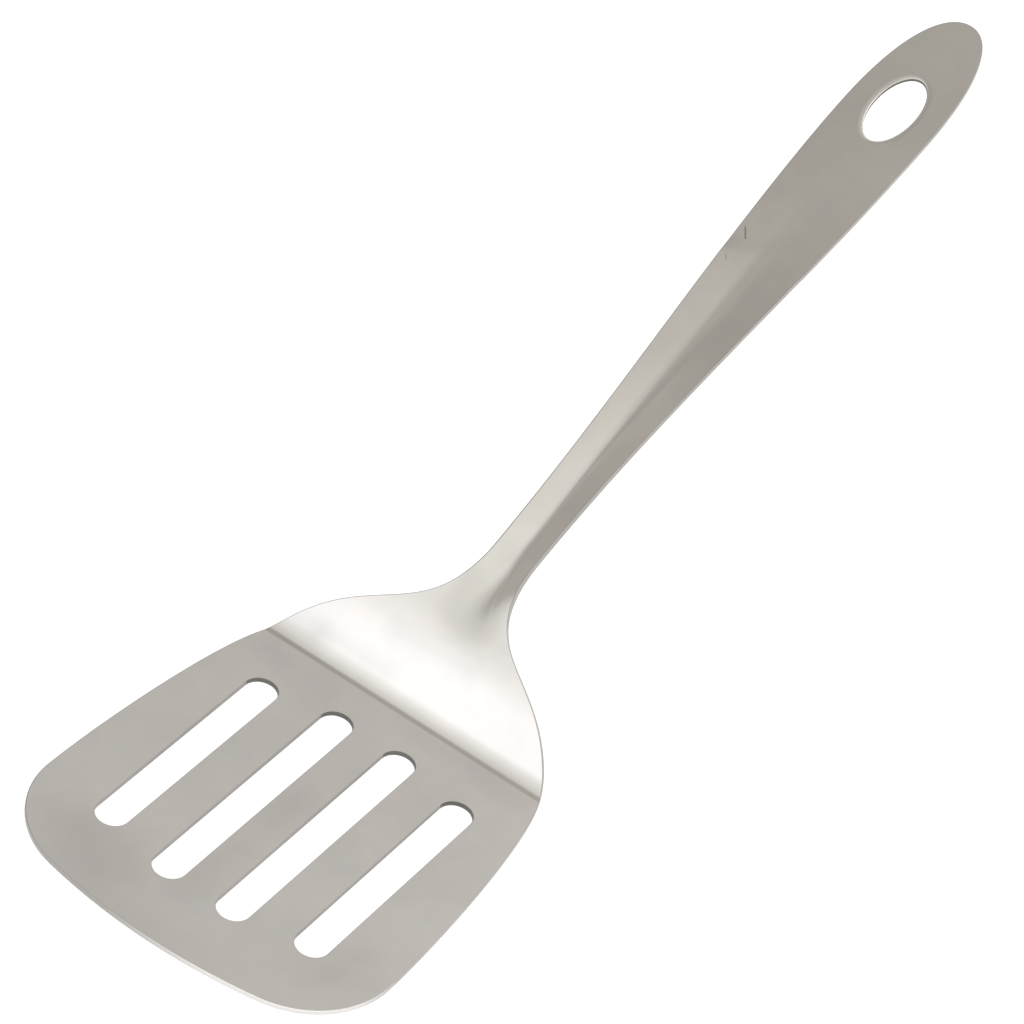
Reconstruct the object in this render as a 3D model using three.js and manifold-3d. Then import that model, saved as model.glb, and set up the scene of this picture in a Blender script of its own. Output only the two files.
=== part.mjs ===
// Slotted spatula, a kitchen turner pressed from one piece of stainless sheet.
// The flat blank is an outline with punched slots and a hanging hole. Pressing bends the shoulder up,
// eases it over into the handle and sinks a groove along the handle, which stiffens it.
// Millimetres. +Z is up, +Y runs from the blade to the handle. The origin is on the blade's underside,
// in the middle of the slots.

import * as THREE from 'three';
import { mergeVertices } from 'three/addons/utils/BufferGeometryUtils.js';
import Module from 'manifold-3d';

// Sheet
const SHEET = 1.2;

// Blade outline
const FRONT_REACH = 49.75; // origin to the middle of the front edge
const FRONT_BOW_RADIUS = 132; // the front edge bows out a little
const FRONT_CORNER_RADIUS = 22.4;
const BLADE_WIDTH = 89.7; // widest, behind the front corners
const SIDE_PULL_FRONT = 21.3; // how far the side keeps its direction behind the corner
const SIDE_PULL_BEND = 10; // and before the bend
const BEND_REACH = 44.25; // origin to the middle of the bend
const BEND_WIDTH = 73.6;
const SIDE_LEAN = 26; // degrees that the side leans in as it crosses the bend

// Neck and handle outline, as lengths along the sheet
const NECK_LENGTH = 44; // bend to the narrowest place
const NECK_WIDTH = 10.4;
const NECK_PULL_BEND = 24.8;
const NECK_PULL_HANDLE = 27.5;
const HANDLE_LENGTH = 148.7; // narrowest place to the widest
const HANDLE_WIDTH = 23.5;
const HANDLE_PULL_NECK = 49.9;
const HANDLE_PULL_END = 48.3;
const TIP_LENGTH = 37.5; // widest place to the end
const TIP_PULL_SIDE = 25.5;
const TIP_PULL_END = 6.7;
const TIP_FLAT = 1.6; // short straight bit where the outline crosses the middle, at both ends

// Side profile of the upper face, followed by the handle's edges
const BEND_LEAD = 1.55; // start of the bend to where the outline crosses it
const BEND_LENGTH = 1.85; // sharp part of the bend
const BEND_ANGLE = 27; // degrees that it turns up
const BEND_EASE_LENGTH = 4.2; // easier part of the bend, behind the sharp one
const BEND_EASE_ANGLE = 20.6;
const SHOULDER_LENGTH = 4.6; // straight part of the shoulder
const EASE_LENGTH = 29.2; // over which the shoulder eases down into the handle
const EASE_ANGLE = 24.9;
const ARCH_ANGLE = 6.7; // degrees that the handle arches down to its end

// Groove along the handle, with its places measured from the bend
const GROOVE_START = 15.3; // the neck begins to hollow
const GROOVE_FULL = 41.3; // the hollow has grown to the groove's full depth
const FLOOR_START = 39.3; // the crease at the bottom begins to widen into a floor
const GROOVE_RUN_OUT = 137.3; // the groove begins to run out
const GROOVE_END = 146.3;
const GROOVE_DEPTH_NECK = 2.75; // straight line that the bottom follows, at the groove's start
const GROOVE_DEPTH_END = 0.45; // and at the run-out
const FLOOR_WIDTH = 3.2; // at the run-out
const CREASE_NECK = 0.5; // half width of the rounded creases beside the floor, at the groove's start
const CREASE_END = 0.9; // and at the run-out
const HOLLOW_ROUND = 4; // added to that half width where the hollow begins
const HOLLOW_END = 33.3; // and gone from here on
const DIE_HALF_NECK = 8; // half width of the V that is pressed into the neck
const DIE_HALF_HANDLE = 15; // and along the handle, where it passes the edges
const DIE_WIDENS = 32.3;
const DIE_FULL = 43.3;
const FLANK_SOFTNESS = 0.35; // share of the depth over which the flanks roll into the neck

// Punched openings
const SLOT_WIDTH = 7.8;
const INNER_SLOT_LENGTH = 67.9;
const INNER_SLOT_OFFSET = 8.4;
const OUTER_SLOT_LENGTH = 60.9;
const OUTER_SLOT_OFFSET = 26.2;
const HOLE_WIDTH = 10.8;
const HOLE_LENGTH = 22.4;
const HOLE_FROM_TIP = 33.3; // centre of the hanging hole to the handle's end
const PUNCH_OVER = 3; // how far a punch passes the sheet on each side

// Facets
const BOW_STEPS = 4;
const CORNER_STEPS = 8;
const SIDE_STEPS = 8;
const BEND_STEPS = 4;
const BEND_EASE_STEPS = 4;
const NECK_STEPS = 22;
const HANDLE_STEPS = 16;
const TIP_STEPS = 9;
const COLUMNS_PER_SIDE = 7;
const COLUMN_CROWDING = 1.45; // above 1 the columns crowd towards the valley
const SLOT_END_STEPS = 10;
const HOLE_STEPS = 40;
const OUTLINE_FINENESS = 200; // points on each outline curve for reading the half width
const SLOPE_STEP = 0.01; // step for measuring the surface's slopes
const LEAST_ROW_GAP = 0.15; // rows closer than this are one row
const MERGE_GAP = 1e-4; // corners closer than this are one corner

const rad = THREE.MathUtils.degToRad;
const smooth = THREE.MathUtils.smoothstep;
const lerp = THREE.MathUtils.lerp;

const neckReach = BEND_REACH + NECK_LENGTH;
const widestReach = neckReach + HANDLE_LENGTH;
const tipReach = widestReach + TIP_LENGTH;
const grooveReach = BEND_REACH + GROOVE_START;
const runOutReach = BEND_REACH + GROOVE_RUN_OUT;
const grooveEnd = BEND_REACH + GROOVE_END;

// Right half of the blank's outline, from the middle of the front edge to the end of the handle.
// x is the half width, y the distance along the sheet.
function halfOutline() {
  const inset = BLADE_WIDTH / 2 - FRONT_CORNER_RADIUS;
  const bowCentre = FRONT_BOW_RADIUS - FRONT_REACH;
  const reach = FRONT_BOW_RADIUS - FRONT_CORNER_RADIUS;
  const turn = Math.asin(inset / reach);
  const cornerCentre = bowCentre - reach * Math.cos(turn);
  const down = -Math.PI / 2;
  const lean = Math.tan(rad(SIDE_LEAN));
  const path = new THREE.Path();
  path.absarc(0, bowCentre, FRONT_BOW_RADIUS, down, down + turn, false);
  path.absarc(inset, cornerCentre, FRONT_CORNER_RADIUS, down + turn, 0, false);
  path.bezierCurveTo(
    BLADE_WIDTH / 2, cornerCentre + SIDE_PULL_FRONT,
    BEND_WIDTH / 2 + lean * SIDE_PULL_BEND, BEND_REACH - SIDE_PULL_BEND,
    BEND_WIDTH / 2, BEND_REACH,
  );
  path.bezierCurveTo(
    BEND_WIDTH / 2 - lean * NECK_PULL_BEND, BEND_REACH + NECK_PULL_BEND,
    NECK_WIDTH / 2, neckReach - NECK_PULL_HANDLE,
    NECK_WIDTH / 2, neckReach,
  );
  path.bezierCurveTo(
    NECK_WIDTH / 2, neckReach + HANDLE_PULL_NECK,
    HANDLE_WIDTH / 2, widestReach - HANDLE_PULL_END,
    HANDLE_WIDTH / 2, widestReach,
  );
  path.bezierCurveTo(
    HANDLE_WIDTH / 2, widestReach + TIP_PULL_SIDE,
    TIP_PULL_END, tipReach,
    0, tipReach,
  );
  return path;
}

const outline = halfOutline();
const outlineSteps = [BOW_STEPS, CORNER_STEPS, SIDE_STEPS, NECK_STEPS, HANDLE_STEPS, TIP_STEPS];
const outlineCurves = outline.curves.filter((curve) => curve.getLength() > 0 && !curve.isLineCurve);
const finePoints = outlineCurves.flatMap((curve) => curve.getPoints(OUTLINE_FINENESS));

// Half width of the blank at a distance along the sheet
function halfWidth(along) {
  let high = finePoints.findIndex((point) => point.y >= along);
  if (high < 0) high = finePoints.length - 1;
  if (high === 0) high = 1;
  const a = finePoints[high - 1];
  const b = finePoints[high];
  const span = b.y - a.y;
  const share = span > 0 ? THREE.MathUtils.clamp((along - a.y) / span, 0, 1) : 0;
  return Math.max(a.x + (b.x - a.x) * share, TIP_FLAT / 2);
}

// Side profile as a chain of stretches, each with a length and the angle that it turns
const bendStart = BEND_REACH - BEND_LEAD;
const bendEase = bendStart + BEND_LENGTH;
const shoulderStart = bendEase + BEND_EASE_LENGTH;
const easeStart = shoulderStart + SHOULDER_LENGTH;
const archStart = easeStart + EASE_LENGTH;
const stretches = [
  { length: BEND_LENGTH, turn: rad(BEND_ANGLE) },
  { length: BEND_EASE_LENGTH, turn: rad(BEND_EASE_ANGLE) },
  { length: SHOULDER_LENGTH, turn: 0 },
  { length: EASE_LENGTH, turn: -rad(EASE_ANGLE) },
  { length: tipReach - archStart, turn: -rad(ARCH_ANGLE) },
];

// Point and slope angle of the side profile's upper face at a distance along the sheet
function profileAt(along) {
  let y = Math.min(along, bendStart);
  let z = SHEET;
  let slope = 0;
  let left = along - bendStart;
  for (const { length, turn } of stretches) {
    if (left <= 0) break;
    const run = Math.min(left, length);
    const swing = turn * run / length;
    // the chord of an arc lies halfway between its end directions
    const chord = swing === 0 ? run : run * Math.sin(swing / 2) / (swing / 2);
    y += chord * Math.cos(slope + swing / 2);
    z += chord * Math.sin(slope + swing / 2);
    slope += swing;
    left -= length;
  }
  // past the end the sheet goes straight on
  if (left > 0) {
    y += left * Math.cos(slope);
    z += left * Math.sin(slope);
  }
  return { y, z, slope };
}

// The larger of a value and 0, with the corner rounded by a parabola as wide as the softness on each side
function softFloor(value, softness) {
  if (Math.abs(value) >= softness) return Math.max(value, 0);
  return (value + softness) ** 2 / (4 * softness);
}

// How far the groove sinks the upper face, at x across and a distance along.
// The depth is the middle's depth times a share that falls from 1 in the middle to 0 at the sheet's edge.
function grooveDepth(x, along) {
  const place = along - BEND_REACH;
  const share = THREE.MathUtils.clamp((place - GROOVE_START) / (GROOVE_RUN_OUT - GROOVE_START), 0, 1);
  const widened = THREE.MathUtils.clamp((place - FLOOR_START) / (GROOVE_RUN_OUT - FLOOR_START), 0, 1);
  const begun = smooth(place, GROOVE_START, GROOVE_FULL);
  const ended = smooth(place, GROOVE_RUN_OUT, GROOVE_END);
  const middle = lerp(GROOVE_DEPTH_NECK, GROOVE_DEPTH_END, share) * begun * (1 - ended);
  if (middle === 0) return 0;
  const floor = FLOOR_WIDTH / 2 * widened;
  const hollow = HOLLOW_ROUND * (1 - smooth(place, GROOVE_START, HOLLOW_END));
  const crease = lerp(CREASE_NECK, CREASE_END, share) + hollow;
  const die = lerp(DIE_HALF_NECK, DIE_HALF_HANDLE, smooth(place, DIE_WIDENS, DIE_FULL));
  // height above the floor: 0 on it, and the distance from it beyond its creases
  const rise = (across) => softFloor(across - floor, crease) + softFloor(-across - floor, crease);
  const depthShare = (across) => softFloor(1 - (rise(across) - rise(0)) / die, FLANK_SOFTNESS);
  const edge = depthShare(halfWidth(along));
  return middle * (depthShare(x) - edge) / (1 - edge);
}

// Point of the pressed sheet's upper face
function upperPoint(x, along) {
  const { y, z, slope } = profileAt(along);
  const sink = grooveDepth(x, along);
  return new THREE.Vector3(x, y + Math.sin(slope) * sink, z - Math.cos(slope) * sink);
}

// Point of the lower face, one sheet thickness straight below the upper face
function lowerPoint(x, along) {
  const across = upperPoint(x + SLOPE_STEP, along).sub(upperPoint(x - SLOPE_STEP, along));
  const ahead = upperPoint(x, along + SLOPE_STEP).sub(upperPoint(x, along - SLOPE_STEP));
  const normal = across.cross(ahead).normalize();
  return upperPoint(x, along).addScaledVector(normal, -SHEET);
}

// Rows of the pressed sheet: the outline's own points, and extra rows round the bend and the groove's ends
function rowPlaces() {
  const reaches = (curve, i) => curve.getPoints(outlineSteps[i]).map((point) => point.y);
  const places = outlineCurves.flatMap(reaches);
  for (let i = 0; i < BEND_STEPS; i += 1) places.push(bendStart + BEND_LENGTH * i / BEND_STEPS);
  for (let i = 0; i < BEND_EASE_STEPS; i += 1) places.push(bendEase + BEND_EASE_LENGTH * i / BEND_EASE_STEPS);
  places.push(shoulderStart, easeStart, grooveReach, BEND_REACH + FLOOR_START);
  places.push(runOutReach, (runOutReach + grooveEnd) / 2, grooveEnd);
  places.sort((a, b) => a - b);
  const kept = [-FRONT_REACH];
  for (const place of places) {
    if (place - kept[kept.length - 1] > LEAST_ROW_GAP && tipReach - place > LEAST_ROW_GAP) kept.push(place);
  }
  kept.push(tipReach);
  return kept;
}

// Pressed sheet as a loft: every row runs from edge to edge across the upper and the lower face
function pressedSheet() {
  const rows = rowPlaces();
  const columns = 2 * COLUMNS_PER_SIDE + 1;
  const positions = [];
  for (const point of [upperPoint, lowerPoint]) {
    for (const along of rows) {
      const half = halfWidth(along);
      for (let j = -COLUMNS_PER_SIDE; j <= COLUMNS_PER_SIDE; j += 1) {
        const share = Math.sign(j) * (Math.abs(j) / COLUMNS_PER_SIDE) ** COLUMN_CROWDING;
        positions.push(...point(share * half, along).toArray());
      }
    }
  }
  const lower = rows.length * columns;
  const index = [];
  const quad = (a, b, c, d) => index.push(a, b, c, a, c, d);
  for (let i = 0; i + 1 < rows.length; i += 1) {
    const here = i * columns;
    const next = here + columns;
    for (let j = 0; j + 1 < columns; j += 1) {
      quad(here + j, here + j + 1, next + j + 1, next + j);
      quad(lower + here + j, lower + next + j, lower + next + j + 1, lower + here + j + 1);
    }
    const right = columns - 1;
    quad(here, next, lower + next, lower + here);
    quad(here + right, lower + here + right, lower + next + right, next + right);
  }
  const end = (rows.length - 1) * columns;
  for (let j = 0; j + 1 < columns; j += 1) {
    quad(j, lower + j, lower + j + 1, j + 1);
    quad(end + j, end + j + 1, lower + end + j + 1, lower + end + j);
  }
  const geometry = new THREE.BufferGeometry();
  geometry.setAttribute('position', new THREE.Float32BufferAttribute(positions, 3));
  geometry.setIndex(index);
  return geometry;
}

// Punch with the given outline, passing through a sheet whose upper face lies at z = 0
function punchFrom(shape, curveSegments) {
  const depth = SHEET + 2 * PUNCH_OVER;
  const punch = new THREE.ExtrudeGeometry(shape, { depth, bevelEnabled: false, curveSegments });
  return punch.translate(0, 0, -SHEET - PUNCH_OVER);
}

// Punch with a round-ended outline, standing across the flat blade
function slotPunch(offset, length) {
  const radius = SLOT_WIDTH / 2;
  const reach = length / 2 - radius;
  const shape = new THREE.Shape();
  shape.absarc(0, reach, radius, 0, Math.PI, false);
  shape.absarc(0, -reach, radius, Math.PI, 2 * Math.PI, false);
  return punchFrom(shape, SLOT_END_STEPS).translate(offset, 0, SHEET);
}

// Oval punch, square to the handle at the hanging hole
function holePunch() {
  const { y, z, slope } = profileAt(tipReach - HOLE_FROM_TIP);
  const shape = new THREE.Shape();
  shape.absellipse(0, 0, HOLE_WIDTH / 2, HOLE_LENGTH / 2, 0, 2 * Math.PI, false, 0);
  return punchFrom(shape, HOLE_STEPS / 2).rotateX(slope).translate(0, y, z);
}

const wasm = await Module();
wasm.setup();

// Closed solid from a geometry, with shared corners merged
function solidFrom(geometry) {
  const bare = geometry.clone();
  bare.deleteAttribute('normal');
  bare.deleteAttribute('uv');
  const merged = mergeVertices(bare, MERGE_GAP);
  const vertProperties = new Float32Array(merged.getAttribute('position').array);
  const triVerts = new Uint32Array(merged.getIndex().array);
  return new wasm.Manifold(new wasm.Mesh({ numProp: 3, vertProperties, triVerts }));
}

function geometryFrom(solid) {
  const { vertProperties, triVerts } = solid.getMesh();
  const geometry = new THREE.BufferGeometry();
  geometry.setAttribute('position', new THREE.BufferAttribute(new Float32Array(vertProperties), 3));
  geometry.setIndex(new THREE.BufferAttribute(new Uint32Array(triVerts), 1));
  geometry.computeVertexNormals();
  return geometry;
}

function punchedSpatula() {
  const punches = [holePunch()];
  for (const side of [-1, 1]) {
    punches.push(slotPunch(side * INNER_SLOT_OFFSET, INNER_SLOT_LENGTH));
    punches.push(slotPunch(side * OUTER_SLOT_OFFSET, OUTER_SLOT_LENGTH));
  }
  const sheet = solidFrom(pressedSheet());
  return geometryFrom(punches.reduce((left, punch) => left.subtract(solidFrom(punch)), sheet));
}

const polishedSteel = new THREE.MeshStandardMaterial({ color: 0xb4b0aa, roughness: 0.28, metalness: 1 });

const spatula = new THREE.Mesh(punchedSpatula(), polishedSteel);
spatula.name = 'pressed_spatula';

const slottedSpatula = new THREE.Group();
slottedSpatula.add(spatula);

export default slottedSpatula;
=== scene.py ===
# %% [markdown]
# # A slotted spatula, pressed from one steel sheet
# The object is a kitchen turner: a flat slotted blade, a bent shoulder, a neck that narrows into a
# grooved handle, and a flat end with an oval hole to hang it by. The real one starts as a flat blank, is
# punched, and is then pressed between two dies, so the whole object is one sheet of even thickness. This
# lesson rebuilds the pressing as a surface of two parameters, gives its cut edges a profile of their
# own, and finishes it with a polished steel made of nodes.

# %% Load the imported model
import math

import bpy
import numpy as np
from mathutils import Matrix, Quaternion, Vector
from mathutils.geometry import delaunay_2d_cdt


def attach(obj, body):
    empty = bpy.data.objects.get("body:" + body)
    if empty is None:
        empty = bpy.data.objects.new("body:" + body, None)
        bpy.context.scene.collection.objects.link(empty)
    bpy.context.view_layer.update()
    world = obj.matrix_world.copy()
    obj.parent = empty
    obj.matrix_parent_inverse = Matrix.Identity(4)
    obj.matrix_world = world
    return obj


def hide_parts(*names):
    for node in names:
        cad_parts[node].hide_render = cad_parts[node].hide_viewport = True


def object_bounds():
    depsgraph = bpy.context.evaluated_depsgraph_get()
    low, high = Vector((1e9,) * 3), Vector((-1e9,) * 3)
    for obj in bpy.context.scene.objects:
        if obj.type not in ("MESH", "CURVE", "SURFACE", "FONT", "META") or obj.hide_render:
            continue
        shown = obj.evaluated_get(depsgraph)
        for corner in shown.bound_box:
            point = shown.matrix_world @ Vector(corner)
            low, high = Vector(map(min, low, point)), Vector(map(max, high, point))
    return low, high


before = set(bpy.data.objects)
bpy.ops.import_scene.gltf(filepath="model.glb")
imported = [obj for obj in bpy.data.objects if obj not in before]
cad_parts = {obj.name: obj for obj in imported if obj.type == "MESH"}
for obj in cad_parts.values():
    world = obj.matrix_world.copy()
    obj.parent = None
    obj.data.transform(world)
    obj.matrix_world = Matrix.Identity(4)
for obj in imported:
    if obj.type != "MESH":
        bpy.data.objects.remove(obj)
cad_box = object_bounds()
MM = 0.001
print("nodes:", sorted(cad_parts), "box in mm:", [[round(x / MM, 1) for x in c] for c in cad_box])

# %% [markdown]
# ## Camera
# A long lens some way off keeps the blade and the handle end at nearly one scale, as in the reference
# picture. The camera could be placed by hand until it fits. Here it is given as a photographer would set
# it: a point to aim at on the blade's plane, a distance, two angles and a roll, so each can be changed
# alone.

# %% Place the camera
AIM = Vector((-20.5, 118.35, 1.2)) * MM
CAMERA_DISTANCE = 1069.7 * MM
CAMERA_AZIMUTH = math.radians(23.64)
CAMERA_ELEVATION = math.radians(39.67)
CAMERA_ROLL = math.radians(15.77)
FOCAL_LENGTH = 162.65  # millimetres
SENSOR_WIDTH = 36  # millimetres


def direction(azimuth, elevation):
    """Unit vector towards a place in the studio.
    Azimuth 0 is in front of the blade and 90 degrees is at its right."""
    level = math.cos(elevation)
    return Vector((math.sin(azimuth) * level, -math.cos(azimuth) * level, math.sin(elevation)))


def make_camera():
    """The camera looks back along its own direction vector, and rolls about it."""
    data = bpy.data.cameras.new("camera")
    data.sensor_width = SENSOR_WIDTH
    data.lens = FOCAL_LENGTH
    camera = bpy.data.objects.new("camera", data)
    back = direction(CAMERA_AZIMUTH, CAMERA_ELEVATION)
    camera.location = AIM + back * CAMERA_DISTANCE
    camera.rotation_mode = "QUATERNION"
    camera.rotation_quaternion = Quaternion(back, CAMERA_ROLL) @ back.to_track_quat("Z", "Y")
    bpy.context.scene.collection.objects.link(camera)
    return camera


bpy.context.scene.camera = make_camera()
bpy.context.scene.view_settings.view_transform = "Standard"
print("camera at", [round(x / MM, 1) for x in bpy.context.scene.camera.location], "mm")

# %% [markdown]
# ## Studio
# Polished steel has hardly any colour of its own: what we see is the room. So the room is designed
# first. Lamps alone would leave hard shapes in the metal. A world whose tone changes smoothly with
# direction gives the long soft gradients of a light tent: bright in front and to the right, greyer
# behind and above.

# %% Helpers that build nodes


def feed(tree, socket, value):
    """Links a socket to another node's output, or sets its plain value."""
    if isinstance(value, bpy.types.NodeSocket):
        tree.links.new(value, socket)
    else:
        socket.default_value = value


def add(tree, kind, inputs=(), **settings):
    """A new node with its settings, and its inputs by name or number."""
    node = tree.nodes.new("ShaderNode" + kind)
    for name, value in settings.items():
        setattr(node, name, value)
    for name, value in dict(inputs).items():
        feed(tree, node.inputs[name], value)
    return node


def maths(tree, operation, *values, clamp=False):
    """Output of a Math node."""
    node = add(tree, "Math", dict(enumerate(values)), operation=operation, use_clamp=clamp)
    return node.outputs["Value"]


def vector_maths(tree, operation, inputs, output):
    """Output of a Vector Math node, by its name: a vector or a plain value."""
    return add(tree, "VectorMath", inputs, operation=operation).outputs[output]


def ramp(tree, value, stops):
    """Output of a smooth colour ramp from stops of position and colour."""
    node = add(tree, "ValToRGB", {"Fac": value})
    band = node.color_ramp
    band.interpolation = "CARDINAL"
    while len(band.elements) < len(stops):
        band.elements.new(1.0)
    while len(band.elements) > len(stops):
        band.elements.remove(band.elements[-1])
    for element, (position, colour) in zip(band.elements, stops):
        element.position = position
        element.color = (*colour, 1)
    return node.outputs["Color"]


print("node helpers:", [helper.__name__ for helper in (feed, add, maths, vector_maths, ramp)])

# %% [markdown]
# ## Light tent
# In a photographer's tent the object is wrapped in lit cloth, and every direction has a tone of its own.
# A panorama could be wrapped round the scene instead. Three short lists do the same and can be read: one
# runs from the front over the top to the back, one from left to right, and one says where the second
# counts.

# %% World: tone by direction
# Tones by the angle from straight up, tipped to the front (negative) or to the back, in degrees
FRONT_TO_BACK = [
    (-90, 1.0), (-62, 1.55), (-45, 1.63), (-38, 1.48), (-31, 1.33), (-24, 1.21), (-18, 1.07), (-8, 0.925),
    (-5, 0.905), (-3, 0.86), (0, 0.76), (1.7, 0.695), (4.6, 0.58), (6, 0.537), (12, 0.525), (25, 0.51),
    (34, 0.58), (41, 0.742), (43, 0.76), (44.6, 0.731), (47, 0.7), (60, 0.72), (90, 0.8),
]
# Shares of that tone by how far the direction points to the left (negative) or to the right
LEFT_TO_RIGHT = [
    (-1, 1.15), (-0.9, 1.06), (-0.81, 1.02), (-0.74, 0.99), (-0.69, 1.02), (-0.6, 1.09), (-0.55, 1.07),
    (-0.46, 0.87), (-0.38, 0.97), (-0.31, 0.98), (-0.275, 1.035), (-0.235, 1.13), (-0.215, 1.27),
    (-0.2, 1.36), (-0.11, 1.33), (0, 1.48), (0.14, 1.6), (0.2, 1.65), (0.3, 1.75), (0.42, 1.86), (1, 2.1),
]
# How much of those shares counts, by the first angle: all of it behind, in front only halfway up
SIDE_CONTRAST = [
    (-62, 0), (-52, 0.9), (-42, 0.9), (-32, 0), (-15, 0), (-11.6, 0.14), (-5, 0.31), (-2, 0.42),
    (0, 0.65), (2, 0.97), (4, 1),
]
# The light in front is daylight, slightly cooler than the light from above
TINTS = [
    (-45, (0.905, 0.925, 1)), (-14, (0.965, 0.98, 1)), (2, (0.965, 0.99, 1)), (9, (1, 0.995, 0.975)),
    (30, (1, 0.995, 0.975)), (41, (0.978, 0.976, 1)),
]
TONE_SCALE = 2.2  # ramps hold values up to 1, so tones are stored as shares of this one
WHITE = (1, 1, 1, 1)
TIP_SPAN = 180  # degrees, from level in front over the top to level behind
SIDE_SPAN = 2  # from -1 at the far left to 1 at the far right


def greys(stops, scale=1):
    """Stops with a grey for each tone, as a share of the scale."""
    return [(place, [tone / scale] * 3) for place, tone in stops]


def spread(tree, value, span, stops):
    """Ramp over a value that runs from half a span below 0 to half a span above it."""
    share = maths(tree, "MULTIPLY_ADD", value, 1 / span, 0.5)
    return ramp(tree, share, [(place / span + 0.5, colour) for place, colour in stops])


def make_world():
    """Tone of a direction = its front to back tone times 1 + contrast * (left to right share - 1).
    The camera itself sees plain white behind the floor's edge."""
    world = bpy.data.worlds.new("light_tent")
    world.use_nodes = True
    tree = world.node_tree
    tree.nodes.clear()
    place = add(tree, "TexCoord").outputs["Generated"]
    x, y, z = add(tree, "SeparateXYZ", {"Vector": place}).outputs
    tip = maths(tree, "DEGREES", maths(tree, "ARCTAN2", y, z))
    along = spread(tree, tip, TIP_SPAN, greys(FRONT_TO_BACK, TONE_SCALE))
    across = spread(tree, x, SIDE_SPAN, greys(LEFT_TO_RIGHT, TONE_SCALE))
    contrast = spread(tree, tip, TIP_SPAN, greys(SIDE_CONTRAST))
    tint = spread(tree, tip, TIP_SPAN, TINTS)
    change = maths(tree, "MULTIPLY_ADD", across, TONE_SCALE, -1.0)
    share = maths(tree, "MULTIPLY_ADD", change, contrast, 1.0)
    level = maths(tree, "MULTIPLY", maths(tree, "MULTIPLY", along, TONE_SCALE), share)
    light = add(tree, "Background", {"Color": tint, "Strength": level}).outputs["Background"]
    plain = add(tree, "Background", {"Color": WHITE, "Strength": 1}).outputs["Background"]
    camera = add(tree, "LightPath").outputs["Is Camera Ray"]
    seen = add(tree, "MixShader", {0: camera, 1: light, 2: plain}).outputs["Shader"]
    add(tree, "OutputWorld", {"Surface": seen})
    return world


bpy.context.scene.world = make_world()
print("world:", len(bpy.context.scene.world.node_tree.nodes), "nodes")

# %% [markdown]
# ## Floor and lamp
# The object lies on white and hardly throws a shadow. A floor lit only by lamps would show their spots
# and fall off to grey, so this one glows: it looks white to the camera and in the steel. The light that
# it catches adds to that, which leaves room for a faint shadow, and one large soft lamp gives the shadow
# a side.

# %% Make the floor and the lamp
FLOOR_SIZE = 6000 * MM
FLOOR_DROP = 0.3 * MM  # keeps the floor's face clear of the blade's underside
FLOOR_GLOW = 0.75  # share of white that the floor shows by itself
FLOOR_COLOUR = (0.42, 0.42, 0.42, 1)
LAMP_SIZE = 700 * MM
LAMP_DISTANCE = 1500 * MM
LAMP_POWER = 1.5  # watts
LAMP_AZIMUTH = math.radians(140)
LAMP_ELEVATION = math.radians(50)


def mesh_object(name, points, faces):
    """Mesh object from an array of points and a list of faces."""
    mesh = bpy.data.meshes.new(name)
    mesh.from_pydata(points.tolist(), [], faces)
    mesh.update()
    made = bpy.data.objects.new(name, mesh)
    bpy.context.scene.collection.objects.link(made)
    return made


def make_floor():
    """Flat square, white to the camera and to reflections, that takes a soft shadow."""
    corners = np.array([[-1, -1], [1, -1], [1, 1], [-1, 1]]) * FLOOR_SIZE / 2
    heights = np.full(len(corners), -FLOOR_DROP)
    floor = mesh_object("floor", np.column_stack([corners, heights]), [list(range(len(corners)))])
    material = bpy.data.materials.new("pale_floor")
    material.use_nodes = True
    tree = material.node_tree
    rays = add(tree, "LightPath").outputs
    seen = maths(tree, "ADD", rays["Is Camera Ray"], rays["Is Glossy Ray"])
    seen = maths(tree, "ADD", seen, rays["Is Transmission Ray"], clamp=True)
    surface = tree.nodes["Principled BSDF"].inputs
    surface["Base Color"].default_value = FLOOR_COLOUR
    surface["Roughness"].default_value = 1
    surface["Specular IOR Level"].default_value = 0
    surface["Emission Color"].default_value = WHITE
    feed(tree, surface["Emission Strength"], maths(tree, "MULTIPLY", seen, FLOOR_GLOW))
    floor.data.materials.append(material)


def make_lamp():
    """Square soft lamp behind the handle that faces the aim point."""
    data = bpy.data.lights.new("soft_lamp", "AREA")
    data.size = LAMP_SIZE
    data.energy = LAMP_POWER
    lamp = bpy.data.objects.new("soft_lamp", data)
    back = direction(LAMP_AZIMUTH, LAMP_ELEVATION)
    lamp.location = AIM + back * LAMP_DISTANCE
    lamp.rotation_mode = "QUATERNION"
    lamp.rotation_quaternion = back.to_track_quat("Z", "Y")
    bpy.context.scene.collection.objects.link(lamp)


make_floor()
make_lamp()
print("floor at", -FLOOR_DROP / MM, "mm, lamp of", LAMP_POWER, "W")

# %% [markdown]
# ## Outline of the blank
# Before pressing, the spatula is a flat shape that is alike left and right of its middle line. Its
# outline could be traced with many points. A few arcs and curves do better: they are what a die maker
# would draw, they are smooth everywhere, and each has a size that can be measured with a ruler. In the
# blank, u runs across and s along the sheet, with s = 0 in the middle of the slots.

# %% Half outline from arcs and curves
SHEET = 1.2 * MM
FRONT_REACH = -cad_box[0].y
BLADE_HALF = cad_box[1].x
FRONT_BOW_RADIUS = 132 * MM
FRONT_CORNER_RADIUS = 22.4 * MM
BEND_REACH = 44.25 * MM
BEND_HALF = 36.8 * MM
SIDE_LEAN = math.tan(math.radians(26))
NECK_REACH = BEND_REACH + 44 * MM
NECK_HALF = 5.2 * MM
WIDEST_REACH = NECK_REACH + 148.7 * MM
HANDLE_HALF = 11.75 * MM
TIP_REACH = WIDEST_REACH + 37.5 * MM
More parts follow.
